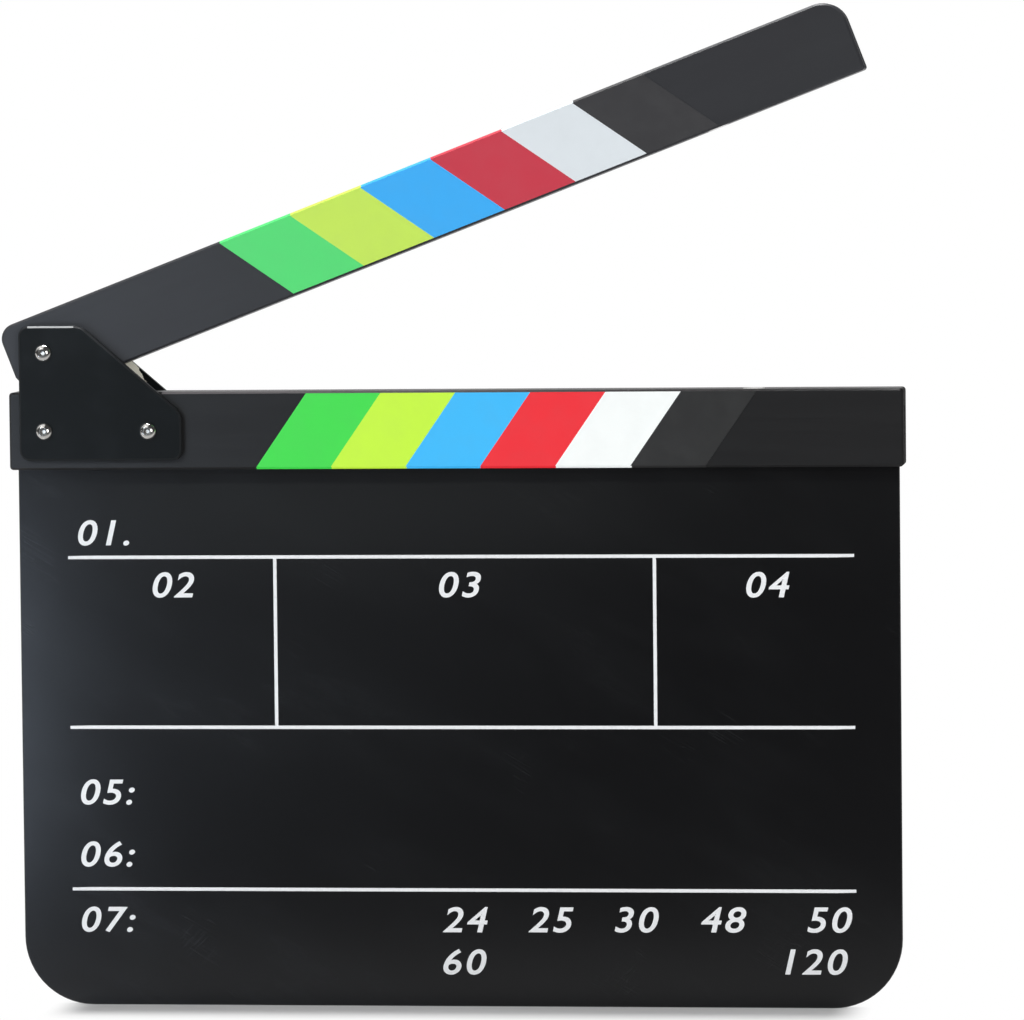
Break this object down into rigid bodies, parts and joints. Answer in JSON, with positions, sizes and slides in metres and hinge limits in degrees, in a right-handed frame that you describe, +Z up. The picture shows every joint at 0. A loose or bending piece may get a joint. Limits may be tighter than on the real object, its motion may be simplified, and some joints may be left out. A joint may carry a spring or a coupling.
{
  "type": "clapperboard",
  "caption": "Film clapperboard: a dark writing slate hung in a grooved bar, with a striped clap stick that swings on a side-plate hinge and snaps shut on magnets.",
  "frame": {"origin": "middle of the slate's bottom edge, half way through its thickness", "axes": "+X along the bar from the hinge to the free end, +Y from the written face to the back, +Z up"},
  "size_m": [0.3023, 0.0266, 0.3341],
  "materials": {
    "slate_acrylic": "satin black acrylic",
    "black_wood": "satin black paint",
    "hinge_black": "satin black paint",
    "bright_screw": "bright nickel plate",
    "zinc_nut": "zinc plate",
    "zinc_washer": "zinc plate",
    "brass_bush": "turned",
    "nylon": "natural nylon",
    "nickel_magnet": "nickel plate",
    "film_green": "satin vinyl film",
    "film_lime": "satin vinyl film",
    "film_blue": "satin vinyl film",
    "film_red": "satin vinyl film",
    "film_white": "satin vinyl film",
    "film_grey": "satin vinyl film"
  },
  "bodies": {
    "board": {"slate_board": "slate_acrylic", "lower_bar": "black_wood", "front_hinge_plate": "hinge_black", "rear_hinge_plate": "hinge_black", "pivot_screw": "bright_screw", "left_fixing_screw": "bright_screw", "right_fixing_screw": "bright_screw", "pivot_lock_nut": "zinc_nut", "left_fixing_lock_nut": "zinc_nut", "right_fixing_lock_nut": "zinc_nut", "pivot_washer": "zinc_washer", "left_fixing_washer": "zinc_washer", "right_fixing_washer": "zinc_washer", "front_friction_washer": "nylon", "rear_friction_washer": "nylon", "lower_magnet": "nickel_magnet", "lower_stripe_green": "film_green", "lower_stripe_lime": "film_lime", "lower_stripe_blue": "film_blue", "lower_stripe_red": "film_red", "lower_stripe_white": "film_white", "lower_stripe_grey": "film_grey"},
    "stick": {"upper_stick": "black_wood", "pivot_bush": "brass_bush", "upper_magnet": "nickel_magnet", "upper_stripe_green": "film_green", "upper_stripe_lime": "film_lime", "upper_stripe_blue": "film_blue", "upper_stripe_red": "film_red", "upper_stripe_white": "film_white", "upper_stripe_grey": "film_grey"}
  },
  "joints": [
    {"name": "clap_hinge", "type": "hinge", "parent": "board", "child": "stick", "pos_m": [-0.1377, 0, 0.2203], "axis": [0, -1, 0], "range_deg": [-21, 74]}
  ]
}
